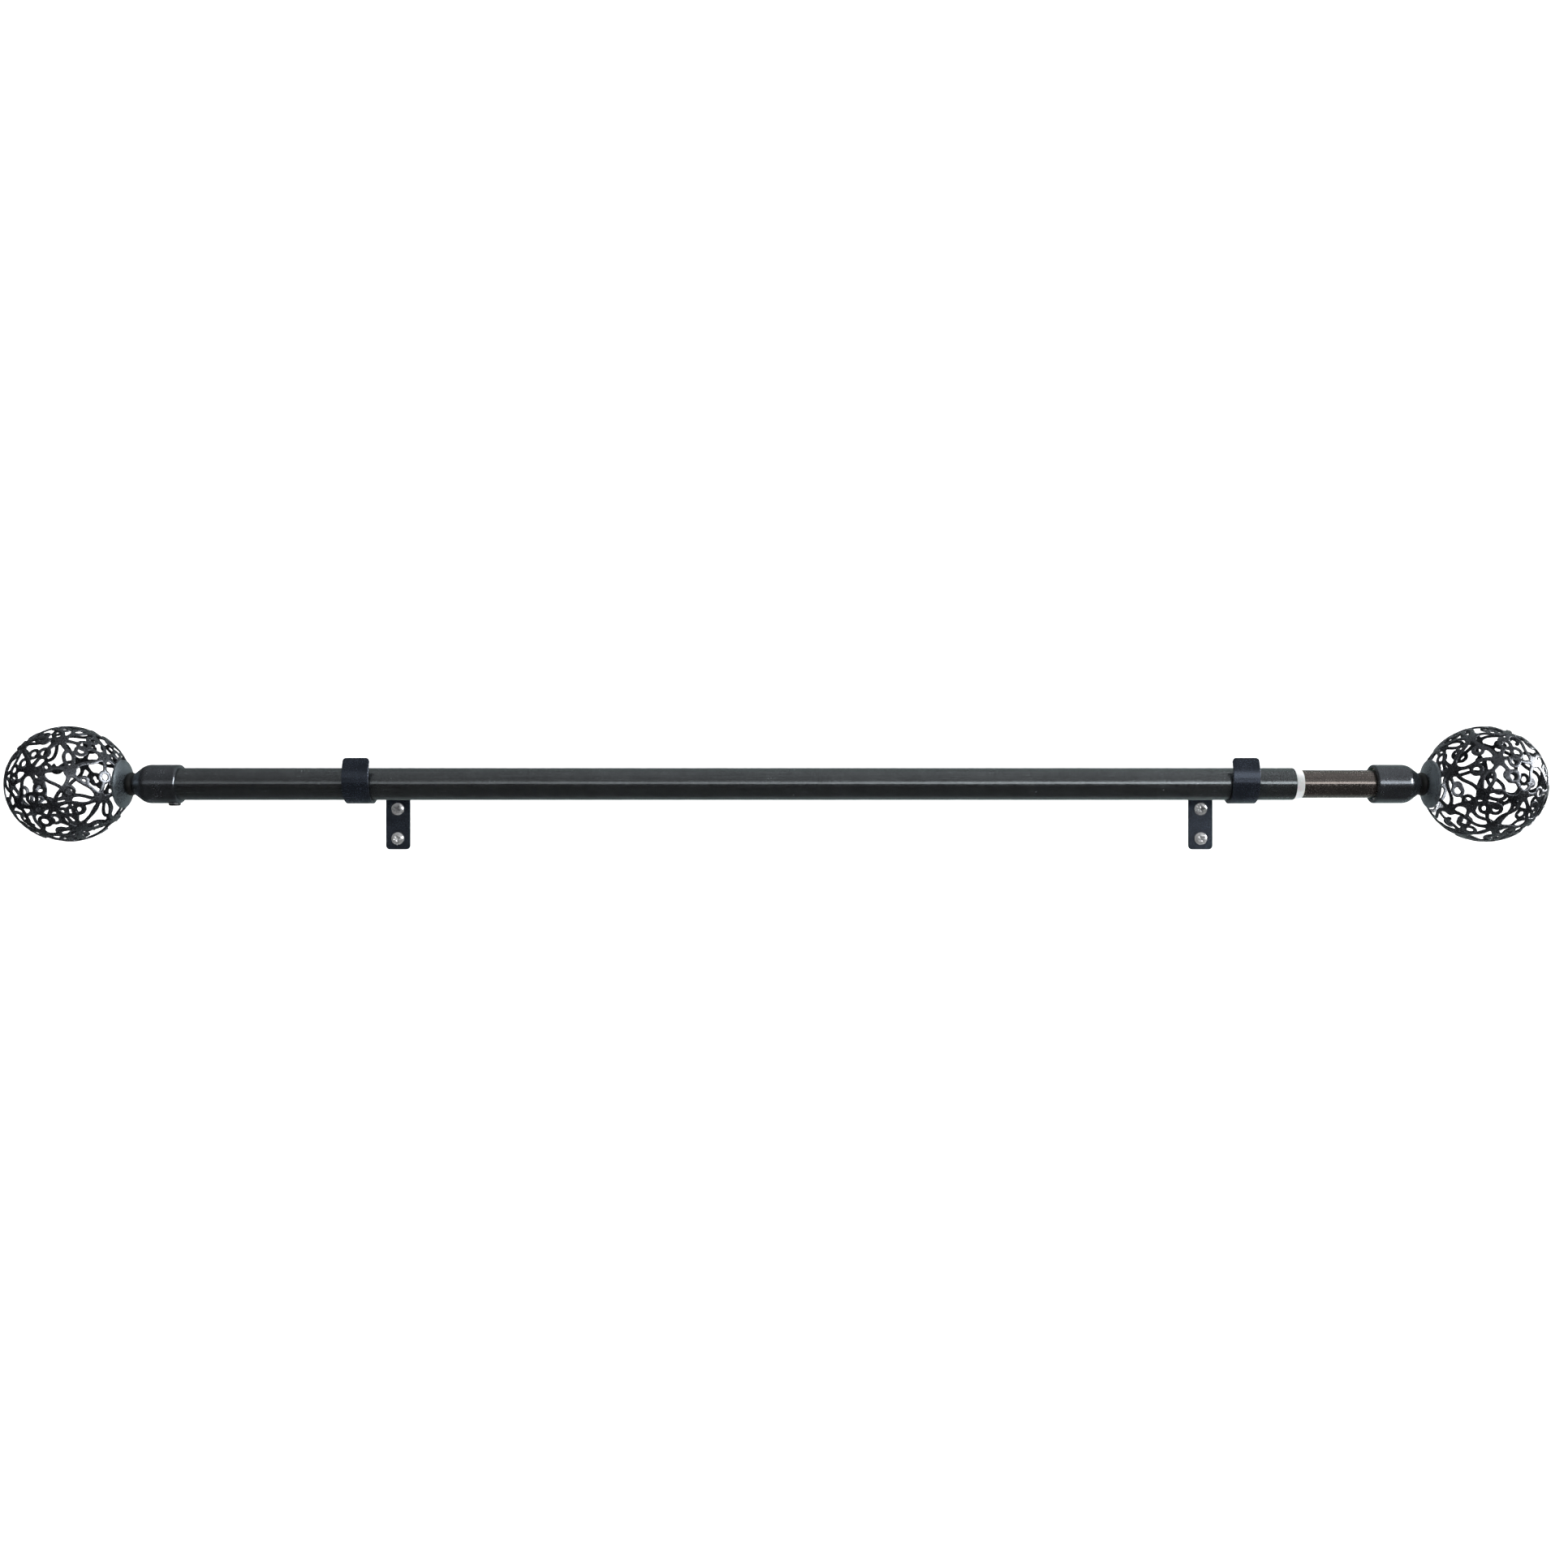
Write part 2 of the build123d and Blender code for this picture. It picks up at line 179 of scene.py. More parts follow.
# %% The room that the metal reflects
ROOM_BY_HEIGHT = ((0.0, 0.05), (0.50, 0.05), (0.53, 0.36), (0.85, 0.40), (1.0, 0.48))
WINDOW_BY_HEIGHT = ((0.505, 0.0), (0.525, 1.0), (0.60, 1.0), (0.65, 0.0))
WINDOW_BY_SIDE = ((0.32, 0.9), (0.5, 1.5), (0.6, 2.6), (0.7, 3.4))
ROOM_BY_SIDE = ((0.1, 0.05), (0.3, 0.42), (0.5, 0.8), (0.7, 1.0), (0.85, 0.9), (0.95, 0.05))
BEHIND_BY_DEPTH = ((0.15, 0.0), (0.4, 1.0))
WALL_BEHIND = (0.32, 0.37, 0.36, 1)
PALE_BACKGROUND = (0.86, 0.87, 0.88, 1)


def node(tree, kind, sockets=(), **settings):
    """Add a node; a socket given as a value is set, and one given as an output is linked."""
    made = tree.nodes.new(kind)
    for key, value in settings.items():
        setattr(made, key, value)
    for key, value in dict(sockets).items():
        if isinstance(value, bpy.types.NodeSocket):
            tree.links.new(value, made.inputs[key])
        else:
            made.inputs[key].default_value = value
    return made


def ramp(tree, factor, stops):
    """Grey levels at places from 0 to 1."""
    made = node(tree, "ShaderNodeValToRGB", {"Fac": factor})
    band = made.color_ramp
    while len(band.elements) < len(stops):
        band.elements.new(0.5)
    for element, (place, level) in zip(band.elements, stops):
        element.position = place
        element.color = (level, level, level, 1)
    return made.outputs["Color"]


def along(tree, coordinate):
    """A direction's coordinate, -1 to 1, as 0 to 1 for a ramp."""
    return node(tree, "ShaderNodeMapRange", {"Value": coordinate, "From Min": -1.0}).outputs[0]


def blended(tree, kind, factor, first, second):
    """Mix two colours; each may be another node's output or a plain colour."""
    made = node(tree, "ShaderNodeMix", {"Factor": factor, 6: first, 7: second},
                data_type="RGBA", blend_type=kind)
    return made.outputs[2]


def studio_room():
    """Brightness by height and side in front, and the wall at +Y behind."""
    room = bpy.data.worlds.new("studio_room")
    room.use_nodes = True
    tree = room.node_tree
    direction = tree.nodes.new("ShaderNodeTexCoord").outputs["Generated"]
    split = node(tree, "ShaderNodeSeparateXYZ", {0: direction})
    height = along(tree, split.outputs["Z"])
    side = along(tree, split.outputs["X"])
    window = blended(tree, "MULTIPLY", 1.0, ramp(tree, height, WINDOW_BY_HEIGHT),
                     ramp(tree, side, WINDOW_BY_SIDE))
    in_front = blended(tree, "ADD", 1.0, ramp(tree, height, ROOM_BY_HEIGHT), window)
    behind = ramp(tree, split.outputs["Y"], BEHIND_BY_DEPTH)
    joined = blended(tree, "MIX", behind, in_front, WALL_BEHIND)
    lit = blended(tree, "MULTIPLY", 1.0, joined, ramp(tree, side, ROOM_BY_SIDE))
    looked_at = tree.nodes.new("ShaderNodeLightPath").outputs["Is Camera Ray"]
    seen = blended(tree, "MIX", looked_at, lit, PALE_BACKGROUND)
    tree.links.new(seen, tree.nodes["Background"].inputs["Color"])
    return room


bpy.context.scene.world = studio_room()
bpy.context.scene.view_settings.view_transform = "Standard"
stage.visible_glossy = False
print("room painted:", bpy.context.scene.world.name)

# %% [markdown]
# The overhead lamp and the backdrop washes only light things; the metal doesn't mirror them. The
# other two are the opposite: only the metal sees them. One far off to the right gives the spark
# on the cup, the rim of the ferrule and the edges of the bracket strips. One in front and to the
# right is seen only by round things: the right ferrule's shoulder, the screw heads and the lace.

# %% Lights
def soft_light(name, offset, aim, width, height, power, mirrored):
    """Area lamp placed and aimed from the middle of the rod; a mirrored one lights nothing."""
    data = bpy.data.lights.new(name, "AREA")
    data.shape = "RECTANGLE"
    data.size, data.size_y = width, height
    data.energy = power
    light = linked_object(name, data)
    light.location = middle + Vector(offset)
    light.rotation_euler = (Vector(aim) - Vector(offset)).to_track_quat("-Z", "Y").to_euler()
    light.visible_glossy = mirrored
    light.visible_diffuse = not mirrored
    return light


LAMPS = {
    # offset, aim, width, height, power, mirrored
    "overhead_softbox": ((0, -0.2, 1.4), (0, 0, 0), 2.6, 1.0, 14, False),
    "right_hand_lamp": ((2.75, 0.33, 0.56), (0, 0, 0), 0.6, 0.8, 90, True),
    "front_key": ((1.8, -0.8, 0.38), (0, 0, 0), 0.5, 0.5, 24, True),
    "backdrop_wash_left": ((-1.1, 0.5, 1.4), (0, 1.9, 0.1), 1.4, 0.5, 60, False),
    "backdrop_wash_right": ((1.1, 0.5, 1.4), (0, 1.9, 0.1), 1.4, 0.5, 60, False),
}
middle = Vector((camera.location.x, rod_y, rod_z))
lights = [soft_light(name, *values) for name, values in LAMPS.items()]
print("lights:", [light.name for light in lights])

# %% [markdown]
# ## Where the lace's hubs sit
#
# Each ball is a cast net of star-shaped hubs joined by wavy arms, with rings and drop-shaped
# loops in between. Thirty-two hubs spread evenly over a sphere are the corners and face
# centres of an icosahedron. One hub sits on each pole, on the rod's axis, so the inner pole
# can be bolted to the cup.

# %% Hub directions
FIVE_BELT = math.atan(2)
SIX_NEAR = math.acos(math.sqrt((5 + 2 * math.sqrt(5)) / 15))
SIX_FAR = math.acos(math.sqrt((5 - 2 * math.sqrt(5)) / 15))
TURN_OF_THE_NET = math.radians(22.4)


def net_direction(polar, turn):
    """Unit vector at an angle from the pole that faces the tubes, and a turn about the rod."""
    turn += TURN_OF_THE_NET
    across = math.sin(polar)
    return Vector((math.cos(polar), across * math.cos(turn), across * math.sin(turn)))


five_hubs = [net_direction(0, 0), net_direction(math.pi, 0)]
six_hubs = []
for step in range(5):
    turn, half_step = step * math.tau / 5, math.tau / 10
    five_hubs.append(net_direction(FIVE_BELT, turn))
    five_hubs.append(net_direction(math.pi - FIVE_BELT, turn + half_step))
    six_hubs += [net_direction(polar, turn + half_step) for polar in (SIX_NEAR, SIX_FAR)]
    six_hubs += [net_direction(math.pi - polar, turn) for polar in (SIX_FAR, SIX_NEAR)]
print("hubs:", len(five_hubs), "with five arms,", len(six_hubs), "with six")

# %% [markdown]
# ## Drawing the net
#
# The arms are drawn as curves on the sphere, because a curve can swell at each point: an arm
# is thick where it leaves a hub and slim in the middle, and that is what makes the stars. A
# curve with a round bevel has no twist to go wrong, so the strips are made round first and
# are flattened afterwards.

# %% Drawing on the sphere
CAST_THICKNESS = 1.2 * MM
ARM_HALF_WIDTH = 1.38 * MM
MIDDLE_RADIUS = ball_radius - CAST_THICKNESS / 2
NO_DISTANCE = 1e-9


def tangents(direction, toward):
    """Two unit vectors square to a direction: the first points toward another direction."""
    along = (toward - direction * toward.dot(direction)).normalized()
    return along, direction.cross(along)


def step_on_sphere(direction, along, across, ahead, aside):
    """The direction reached by going some metres ahead and some aside on the sphere."""
    distance = math.hypot(ahead, aside)
    if distance < NO_DISTANCE:
        return direction.copy()
    heading = (along * ahead + across * aside) / distance
    angle = distance / MIDDLE_RADIUS
    return direction * math.cos(angle) + heading * math.sin(angle)


def draw_line(curve, directions, widths, closed=False):
    """Add one strand to the net; widths are multiples of the usual arm."""
    strand = curve.splines.new("NURBS")
    strand.points.add(len(directions) - 1)
    for point, direction, width in zip(strand.points, directions, widths):
        point.co = (*(direction * MIDDLE_RADIUS), 1.0)
        point.radius = width
    strand.use_cyclic_u = closed
    strand.order_u = 3
    strand.use_endpoint_u = not closed
    strand.resolution_u = 3
    return strand


def flare(distance, reach=3.4 * MM, extra=0.9):
    """How much thicker an arm is near its hub."""
    return 1.0 + extra * math.exp(-((distance / reach) ** 2))


# %% [markdown]
# Four kinds of strand make the whole net. A wavy arm joins two hubs. A ring sits between two
# hubs on two short arms. A drop is a loop that leaves a hub as a point and comes back round.
# A hook curls off the middle of an arm into the open space beside it. The hub that is bolted
# to the cup is a broad washer with a hole for the stud, so its arms start at that washer.

# %% The four kinds of strand
ARM_POINTS, RING_POINTS, DROP_POINTS, HOOK_POINTS = 15, 14, 18, 12
SHORT_ARM_STEPS = (0, 0.25, 0.5, 0.75, 1.0)
DROP_FULLNESS, DROP_SHARPNESS = 1.25, 1.2
DROP_THICK_POINTS = (0, 1, DROP_POINTS - 1)
DROP_TAIL_STEPS = (0, 0.3, 0.6, 0.85, 1.0)
DROP_TAIL_SWAY = 0.8 * MM
# A hook's curl is centred this many of its radii ahead of its root and aside from it.
HOOK_AHEAD, HOOK_ASIDE = 0.4, 0.9
HOOK_WIDTHS = (1.15, *[0.95] * (HOOK_POINTS - 2), 1.2)


def wavy_arm(curve, start, end, sway, start_gap=0.0):
    along, across = tangents(start, end)
    length = start.angle(end) * MIDDLE_RADIUS
    skipped = start_gap / length
    directions, widths = [], []
    for i in range(ARM_POINTS):
        t = skipped + (1 - skipped) * i / (ARM_POINTS - 1)
        aside = sway * math.sin(math.tau * t) * math.sin(math.pi * t) ** 0.5
        directions.append(step_on_sphere(start, along, across, t * length, aside))
        widths.append(flare(t * length) + flare((1 - t) * length) - 1.0)
    draw_line(curve, directions, widths)


def ring(curve, centre, toward, radius, width=1.0):
    along, across = tangents(centre, toward)
    turns = [math.tau * i / RING_POINTS for i in range(RING_POINTS)]
    places = [(radius * math.cos(a), radius * math.sin(a)) for a in turns]
    directions = [step_on_sphere(centre, along, across, *place) for place in places]
    draw_line(curve, directions, [width] * RING_POINTS, closed=True)


def ringed_arm(curve, start, end, radius, lean):
    """Hub, short arm, ring, short arm, hub; lean moves the ring off the straight line."""
    along, across = tangents(start, end)
    length = start.angle(end) * MIDDLE_RADIUS
    centre = step_on_sphere(start, along, across, length / 2, lean)
    ring(curve, centre, start, radius)
    for hub in (start, end):
        inward, _ = tangents(centre, hub)
        edge = step_on_sphere(centre, inward, centre.cross(inward), radius, 0)
        reach = hub.angle(edge) * MIDDLE_RADIUS
        towards, sideways = tangents(hub, edge)
        steps = [reach * t for t in SHORT_ARM_STEPS]
        directions = [step_on_sphere(hub, towards, sideways, step, 0) for step in steps]
        draw_line(curve, directions, [flare(step) for step in steps])


def drop_loop(curve, start, end, length, half_width, slant):
    """A drop that starts at a hub as a point; a short arm goes on from its round end."""
    along, across = tangents(start, end)
    along, across = (along * math.cos(slant) + across * math.sin(slant),
                     across * math.cos(slant) - along * math.sin(slant))
    directions = []
    for i in range(DROP_POINTS):
        a = math.tau * i / DROP_POINTS
        ahead = length * (1 - math.cos(a)) / 2
        aside = half_width * math.sin(a) * math.sin(a / 2) ** DROP_SHARPNESS * DROP_FULLNESS
        directions.append(step_on_sphere(start, along, across, ahead, aside))
    widths = [1.5 if i in DROP_THICK_POINTS else 1.0 for i in range(DROP_POINTS)]
    draw_line(curve, directions, widths, closed=True)
    tip = step_on_sphere(start, along, across, length, 0)
    reach = tip.angle(end) * MIDDLE_RADIUS
    towards, sideways = tangents(tip, end)
    places = [(reach * t, DROP_TAIL_SWAY * math.sin(math.pi * t)) for t in DROP_TAIL_STEPS]
    directions = [step_on_sphere(tip, towards, sideways, *place) for place in places]
    draw_line(curve, directions, [flare(reach * (1 - t)) for t in DROP_TAIL_STEPS])


def hook(curve, root, toward, radius, sweep):
    """A curl that starts on a strand and turns back on itself."""
    along, across = tangents(root, toward)
    directions = []
    for i in range(HOOK_POINTS):
        a = -math.pi / 2 + sweep * i / (HOOK_POINTS - 1)
        ahead = radius * math.cos(a) + HOOK_AHEAD * radius
        aside = radius * math.sin(a) + radius * HOOK_ASIDE
        directions.append(step_on_sphere(root, along, across, ahead, aside))
    draw_line(curve, directions, HOOK_WIDTHS)


# %% [markdown]
# A real net of this kind is one repeated casting, but no two gaps in it look alike. Which kind
# of strand goes where is drawn from a fixed seed, so the net looks grown and is still the same
# each time. A few arms are left out, which opens the larger gaps.

# %% Draw one whole net
# Neighbouring hubs are this many degrees apart.
FIVE_TO_SIX = (30, 40)
SIX_TO_SIX = (38, 45)
# The first two five-armed hubs are the poles, where every arm is plain.
POLES = 2
# Chances of each kind of strand at each kind of place.
NEAR_FIVE = {"arm": 0.60, "drop": 0.36, "open": 0.04}
BETWEEN_SIXES = {"ring": 0.6, "arm": 0.4}
IN_A_GAP = {"gap_ring": 0.55, "hook": 0.38, "open": 0.07}
# Least and most of each measure in millimetres, and of the angles in radians or degrees.
SHORT_ARM_SWAY, LONG_ARM_SWAY = (1.0, 2.4), (1.6, 2.8)
DROP_LENGTH, DROP_HALF_WIDTH, DROP_SLANT = (14.0, 17.0), (3.2, 4.0), (-0.15, 0.15)
ARM_RING_RADIUS, ARM_RING_LEAN = (3.3, 3.8), (-1.2, 1.2)
GAP_RING_SHIFT, GAP_RING_RADIUS = (2.6, 3.8), (2.9, 3.5)
HOOK_RADIUS, HOOK_SWEEP_DEGREES = (2.6, 3.2), (210, 280)
WASHER_RADIUS = 5.4 * MM
WASHER_WIDTH = 1.76


def pairs_between(first, second, low, high):
    """Index pairs of hubs whose directions are a given angle apart, in degrees."""
    same = first is second
    return [(i, j) for i, one in enumerate(first) for j, other in enumerate(second)
            if (not same or j > i) and low < math.degrees(one.angle(other)) < high]


def gaps_of_the_net():
    """The sixty triangles between one five-armed hub and two six-armed ones."""
    gaps = []
    for five in five_hubs:
        near = [six for six in six_hubs if math.degrees(five.angle(six)) < FIVE_TO_SIX[1]]
        gaps += [(five, one, other) for i, one in enumerate(near) for other in near[i + 1:]
                 if math.degrees(one.angle(other)) < SIX_TO_SIX[1]]
    return gaps


def drawn_kind(draw, chances):
    return draw.choices(tuple(chances), tuple(chances.values()))[0]


def draw_net(seed):
    curve = bpy.data.curves.new("net_drawing", "CURVE")
    curve.dimensions = "3D"
    curve.bevel_depth = ARM_HALF_WIDTH
    curve.bevel_resolution = 2
    curve.use_fill_caps = True
    draw = random.Random(seed)
    tally = {"arm": 0, "ring": 0, "drop": 0, "open": 0, "hook": 0, "gap_ring": 0}
    ring(curve, five_hubs[0], five_hubs[2], WASHER_RADIUS, WASHER_WIDTH)
    for i, j in pairs_between(five_hubs, six_hubs, *FIVE_TO_SIX):
        five, six = five_hubs[i], six_hubs[j]
        kind = "arm" if i < POLES else drawn_kind(draw, NEAR_FIVE)
        tally[kind] += 1
        if kind == "arm":
            sway = draw.choice((-1, 1)) * draw.uniform(*SHORT_ARM_SWAY) * MM
            wavy_arm(curve, five, six, sway, start_gap=WASHER_RADIUS if i == 0 else 0.0)
        elif kind == "drop":
            first, last = (five, six) if draw.random() < 0.5 else (six, five)
            drop_loop(curve, first, last, draw.uniform(*DROP_LENGTH) * MM,
                      draw.uniform(*DROP_HALF_WIDTH) * MM, draw.uniform(*DROP_SLANT))
    for i, j in pairs_between(six_hubs, six_hubs, *SIX_TO_SIX):
        one, other = six_hubs[i], six_hubs[j]
        kind = drawn_kind(draw, BETWEEN_SIXES)
        tally[kind] += 1
        if kind == "ring":
            radius = draw.uniform(*ARM_RING_RADIUS) * MM
            ringed_arm(curve, one, other, radius, lean=draw.uniform(*ARM_RING_LEAN) * MM)
        else:
            sway = draw.choice((-1, 1)) * draw.uniform(*LONG_ARM_SWAY) * MM
            wavy_arm(curve, one, other, sway)
    for gap in gaps_of_the_net():
        kind = drawn_kind(draw, IN_A_GAP)
        tally[kind] += 1
        side = draw.randrange(3)
        centre = (gap[0] + gap[1] + gap[2]).normalized()
        arm_middle = (gap[side] + gap[(side + 1) % 3]).normalized()
        if kind == "gap_ring":
            along, across = tangents(centre, arm_middle)
            centre = step_on_sphere(centre, along, across, draw.uniform(*GAP_RING_SHIFT) * MM, 0)
            ring(curve, centre, arm_middle, draw.uniform(*GAP_RING_RADIUS) * MM)
        elif kind == "hook":
            radius = draw.uniform(*HOOK_RADIUS) * MM
            sweep = math.radians(draw.uniform(*HOOK_SWEEP_DEGREES))
            hook(curve, arm_middle, centre, radius, sweep)
    print("net strands:", tally)
    return curve


# %% [markdown]
# The strands and hubs overlap, and a cast net is one piece. A voxel remesh melts them into one
# closed skin with soft inside corners, which is what molten metal leaves. Then every point is
# pulled towards the sphere, so the round strands become flat strips with rounded edges.

# %% Melt and flatten the net
VOXEL = 0.47 * MM
HUB_RADIUS = 4.1 * MM
EDGE_SOFTNESS = 0.42
SMOOTHING_ROUNDS = 2


def bmesh_of(mesh):
    bm = bmesh.new()
    bm.from_mesh(mesh)
    return bm


def evaluated_bmesh(holder):
    """The shape of an object with its modifiers or bevel applied."""
    bpy.context.view_layer.update()
    graph = bpy.context.evaluated_depsgraph_get()
    mesh = bpy.data.meshes.new_from_object(holder.evaluated_get(graph))
    bm = bmesh_of(mesh)
    bpy.data.meshes.remove(mesh)
    return bm


def curve_to_bmesh(curve):
    bm = evaluated_bmesh(linked_object("net_drawing", curve))
    bpy.data.curves.remove(curve)
    return bm


def melt_together(bm, voxel):
    """Voxel remesh of overlapping closed shapes into one skin."""
    holder = linked_object("melt", smooth_mesh("melt", bm))
    remesh = holder.modifiers.new("melt", "REMESH")
    remesh.mode = "VOXEL"
    remesh.voxel_size = voxel
    melted = evaluated_bmesh(holder)
    bpy.data.meshes.remove(holder.data)
    return melted


def flatten_to_strip(bm):
    """Pull each point towards the sphere: round strands become strips of the cast thickness."""
    half = CAST_THICKNESS / 2
    for vert in bm.verts:
        height = (vert.co.length - MIDDLE_RADIUS) / ARM_HALF_WIDTH
        rise = math.copysign(min(1.0, abs(height)) ** EDGE_SOFTNESS, height) * half
        vert.co = vert.co.normalized() * (MIDDLE_RADIUS + rise)


def melted_net(seed):
    bm = curve_to_bmesh(draw_net(seed))
    for hub in five_hubs[1:] + six_hubs:
        bmesh.ops.create_uvsphere(bm, u_segments=16, v_segments=10, radius=HUB_RADIUS,
                                  matrix=Matrix.Translation(hub * MIDDLE_RADIUS))
    bm = melt_together(bm, VOXEL)
    for _ in range(SMOOTHING_ROUNDS):
        bmesh.ops.smooth_vert(bm, verts=bm.verts[:], factor=0.5, use_axis_x=True,
                              use_axis_y=True, use_axis_z=True)
    flatten_to_strip(bm)
    return bm


# %% [markdown]
# ## Pieces of the object
#
# Each new piece rides on a body of the frame, fills a material slot and takes the place of one
# plain solid. A closed skin has no open edges, so they are counted and printed.

# %% Pieces that ride on the frame
def open_edges(mesh):
    """Edges with a face on one side only; a closed skin has none."""
    bm = bmesh_of(mesh)
    count = sum(edge.is_boundary or edge.is_wire for edge in bm.edges)
    bm.free()
    return count


def make_piece(name, bm, body, slot_name, *replaced):
    """Turn a finished bmesh into a piece of the object."""
    mesh = smooth_mesh(name, bm)
    mesh.materials.append(finishes[slot_name])
    piece = linked_object(name, mesh)
    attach(piece, body)
    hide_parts(*replaced)
    print(name, "has", len(mesh.polygons), "faces and", open_edges(mesh), "open edges")
    return piece


# %% [markdown]
# ## Two castings from one net
#
# The real ball is cast as two bowls that meet in the plane across the rod. The cut is a bisect,
# and each cut strand is closed with a face. The right ball is the same product turned end for
# end, so its bowls are mirrored, and a mirrored mesh has its normals recalculated.

# %% Cut the net into bowls
def turn_about(bm, axis, angle):
    bmesh.ops.rotate(bm, verts=bm.verts[:], cent=(0, 0, 0), matrix=Matrix.Rotation(angle, 3, axis))


def bowl(net, towards_tubes, mirrored, turn, centre):
    bm = net.copy()
    whole = bm.verts[:] + bm.edges[:] + bm.faces[:]
    bmesh.ops.bisect_plane(bm, geom=whole, plane_co=(0, 0, 0),
                           plane_no=(1 if towards_tubes else -1, 0, 0), clear_inner=True)
    bmesh.ops.holes_fill(bm, edges=[edge for edge in bm.edges if edge.is_boundary], sides=0)
    turn_about(bm, "X", turn)
    if mirrored:
        bmesh.ops.scale(bm, verts=bm.verts[:], vec=(-1, 1, 1))
        bmesh.ops.recalc_face_normals(bm, faces=bm.faces[:])
    bmesh.ops.translate(bm, verts=bm.verts[:], vec=centre)
    return bm


# %% [markdown]
# ## Finishes
#
# Every finish here is a real coating: enamel with a fine hammered speckle on the tubes and
# ferrules, powder coat on the brackets, worn charcoal with painted glints on its edges on the lace,
# bright zinc on the screws. What they have in common, the speckle and the pale edges, is made
# once as a node group with named inputs. The pale edges are partly worn coat and partly a painted
# glint. Each material then sets its own values.

# %% Small helpers for node groups
def new_group(name, inputs, outputs):
    group = bpy.data.node_groups.new(name, "ShaderNodeTree")
    for label, kind, value in inputs:
        socket = group.interface.new_socket(name=label, in_out="INPUT", socket_type=kind)
        if value is not None:
            socket.default_value = value
    for label, kind in outputs:
        group.interface.new_socket(name=label, in_out="OUTPUT", socket_type=kind)
    given = group.nodes.new("NodeGroupInput").outputs
    result = group.nodes.new("NodeGroupOutput").inputs
    return group, given, result


def use_group(tree, group, sockets):
    return node(tree, "ShaderNodeGroup", sockets, node_tree=group).outputs


def maths(tree, operation, *values, kind="ShaderNodeMath"):
    """The first output of a sum whose terms are numbers, vectors or other nodes' outputs."""
    return node(tree, kind, dict(enumerate(values)), operation=operation).outputs[0]


# %% [markdown]
# Speckle is three noises added up. The finest one is the hammered grain of the enamel. A broad
# one makes the coat a little thicker here and thinner there. The third is stretched along the
# rod, because tube is drawn and polished lengthways and its marks show through.

# %% Speckled coat
CLOUD_SIZE = 14 * MM
STREAK_WIDTH = 0.9 * MM
STREAK_STRETCH = 0.012
# A noise seldom leaves this range, which is spread out to go from -1 to 1.
NOISE_LOW, NOISE_HIGH = 0.35, 0.65


def speckled_coat_group():
    number, vector, colour = "NodeSocketFloat", "NodeSocketVector", "NodeSocketColor"
    group, given, result = new_group(
        "speckled_coat",
        (("Place", vector, None), ("Colour", colour, (0.1, 0.1, 0.1, 1)),
         ("Grain Size", number, 0.0007), ("Grain", number, 0.3), ("Cloud", number, 0.1),
         ("Streak", number, 0.1), ("Roughness", number, 0.4)),
        (("Colour", colour), ("Roughness", number), ("Height", number)))
    place = given["Place"]
    fineness = maths(group, "DIVIDE", 1.0, given["Grain Size"])
    stretched = maths(group, "MULTIPLY", place, (STREAK_STRETCH, 1, 1), kind="ShaderNodeVectorMath")
    total = 1.0
    for where, scale, strength in ((place, fineness, "Grain"), (place, 1 / CLOUD_SIZE, "Cloud"),
                                   (stretched, 1 / STREAK_WIDTH, "Streak")):
        noise = node(group, "ShaderNodeTexNoise", {"Vector": where, "Scale": scale, "Detail": 3.0})
        swing = node(group, "ShaderNodeMapRange",
                     {"Value": noise.outputs[0], "From Min": NOISE_LOW, "From Max": NOISE_HIGH,
                      "To Min": -1.0, "To Max": 1.0}).outputs[0]
        total = maths(group, "MULTIPLY_ADD", swing, given[strength], total)
        if strength == "Grain":
            group.links.new(swing, result["Height"])
    tinted = node(group, "ShaderNodeVectorMath", {0: given["Colour"], "Scale": total}, operation="SCALE")
    group.links.new(tinted.outputs[0], result["Colour"])
    group.links.new(maths(group, "MULTIPLY", given["Roughness"], total), result["Roughness"])
    return group


speckled_coat = speckled_coat_group()
print("group", speckled_coat.name, "has", len(speckled_coat.nodes), "nodes")

# %% [markdown]
# A coat wears through first where a sharp edge is rubbed. The pale colour put on the edges here
# stands for that wear and also for a painted glint, which every edge gets whatever the lamps. The
# Bevel node gives the normal that a rounded edge would have. Where it differs from the real normal
# there is an edge, and a noise breaks the line up so that no edge is pale all along.

# %% Worn edges with painted glints
# How alike the two normals are where the worn, glinting edge begins, and where it is complete.
WEAR_AND_GLINT_BEGINS, WEAR_AND_GLINT_COMPLETE = 0.99, 0.86
# The noise levels between which a patch of wear and painted glint comes in.
PATCH_LOW, PATCH_HIGH = 0.42, 0.6


